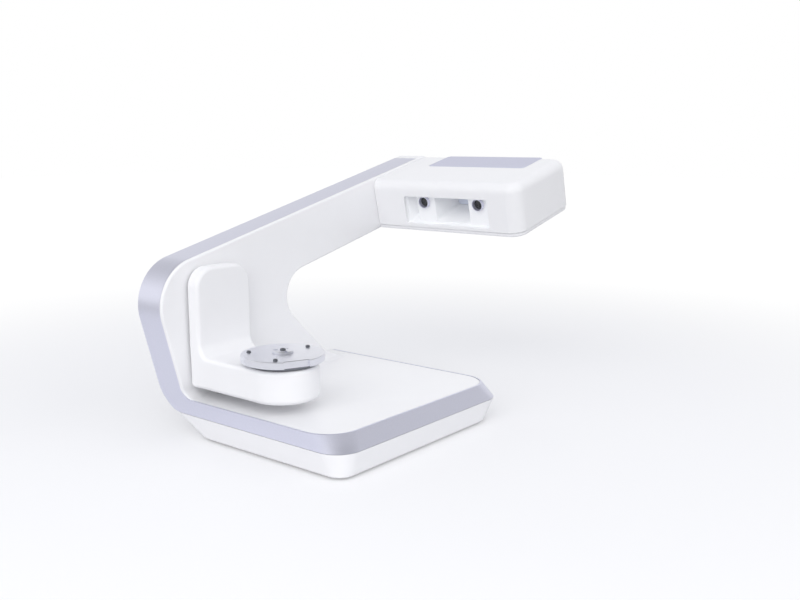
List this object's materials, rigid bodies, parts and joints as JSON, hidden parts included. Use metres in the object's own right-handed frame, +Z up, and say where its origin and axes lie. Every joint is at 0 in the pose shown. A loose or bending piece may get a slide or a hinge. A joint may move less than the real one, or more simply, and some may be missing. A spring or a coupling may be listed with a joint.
{
  "type": "desktop 3d scanner",
  "caption": "C-shaped desktop 3D scanner with a flat foot, a swinging L-bracket that carries a motor-driven turntable, and an overhanging optical head with cameras and a projector.",
  "frame": {"origin": "on the floor, under the middle of the bounding box", "axes": "+Z up; seen from the front (from -Y) the column is at the left (-X) and the optical head overhangs to the right (+X); the upright wall is at the back (+Y)"},
  "size_m": [0.4216, 0.2686, 0.2642],
  "materials": {
    "white_plastic": "satin moulded white ABS",
    "silver_trim": "satin silver lacquer",
    "grey_inlay": "satin grey lacquer",
    "machined_aluminium": "turned and anodised",
    "cast_aluminium": "as cast and machined",
    "bearing_steel": "ground steel",
    "steel": "zinc plated steel",
    "brass": "cut brass",
    "black_plastic": "matt black moulding",
    "motor_black": "black lacquer",
    "lens_glass": "coated glass",
    "circuit_board": "green solder mask",
    "rubber": "matt rubber"
  },
  "bodies": {
    "stand": {"front_shell": "white_plastic", "trim_band": "silver_trim", "base_pan": "white_plastic", "foot_pad_1": "rubber", "foot_pad_2": "rubber", "foot_pad_3": "rubber", "foot_pad_4": "rubber", "ground_plate": "steel", "main_board": "circuit_board", "arm_frame": "steel", "bearing_carrier": "cast_aluminium", "swing_bearing_front": "bearing_steel", "swing_bearing_rear": "bearing_steel", "motor_bracket": "steel", "swing_motor": "motor_black", "rear_cover": "white_plastic", "cover_screw_1": "steel", "cover_screw_2": "steel", "cover_screw_3": "steel", "cover_screw_4": "steel", "cover_screw_5": "steel", "connector_panel": "steel", "power_inlet": "black_plastic", "data_port": "bearing_steel", "switch_housing": "black_plastic", "head_housing": "white_plastic", "head_cover": "white_plastic", "head_inlay": "grey_inlay", "window_insert": "white_plastic", "optical_bench": "cast_aluminium", "camera_barrel_1": "black_plastic", "camera_glass_1": "lens_glass", "camera_sensor_1": "cast_aluminium", "camera_barrel_2": "black_plastic", "camera_glass_2": "lens_glass", "camera_sensor_2": "cast_aluminium", "projector_body": "black_plastic", "projector_lens": "lens_glass"},
    "swing_arm": {"swing_bracket": "white_plastic", "bracket_floor": "white_plastic", "bracket_back": "white_plastic", "swing_arm_plate": "cast_aluminium", "swing_shaft": "steel", "swing_gear": "cast_aluminium", "table_motor": "motor_black", "table_bearing": "bearing_steel"},
    "turntable": {"table_spindle": "steel", "table_gear": "cast_aluminium", "platter": "steel", "fixture_plate": "machined_aluminium", "clamp_disc": "machined_aluminium", "clamp_screw": "steel", "locating_stud_1": "steel", "locating_stud_2": "steel", "locating_stud_3": "steel"},
    "swing_rotor": {"swing_pinion": "brass"},
    "table_rotor": {"table_pinion": "brass"},
    "rocker": {"switch_rocker": "black_plastic"}
  },
  "joints": [
    {"name": "bracket_swing", "type": "hinge", "parent": "stand", "child": "swing_arm", "pos_m": [-0.14862, 0.0622, 0.128], "axis": [0, 1, 0], "range_deg": [-40, 70]},
    {"name": "table_spin", "type": "hinge", "parent": "swing_arm", "child": "turntable", "pos_m": [-0.14862, -0.0298, 0.09], "axis": [0, 0, 1], "continuous": true},
    {"name": "swing_pinion_spin", "type": "hinge", "parent": "stand", "child": "swing_rotor", "pos_m": [-0.12516, 0.09, 0.08735], "axis": [0, 1, 0], "range_deg": [-290, 170]},
    {"name": "table_pinion_spin", "type": "hinge", "parent": "swing_arm", "child": "table_rotor", "pos_m": [-0.14862, 0.00426, 0.058], "axis": [0, 0, 1], "continuous": true},
    {"name": "power_rocker", "type": "hinge", "parent": "stand", "child": "rocker", "pos_m": [-0.08615, 0.1302, 0.09713], "axis": [0, 0, -1], "range_deg": [0, 12]}
  ],
  "couplings": [
    {"joint": "swing_pinion_spin", "follows": "bracket_swing", "ratio": -4},
    {"joint": "table_pinion_spin", "follows": "table_spin", "ratio": -3.25}
  ]
}
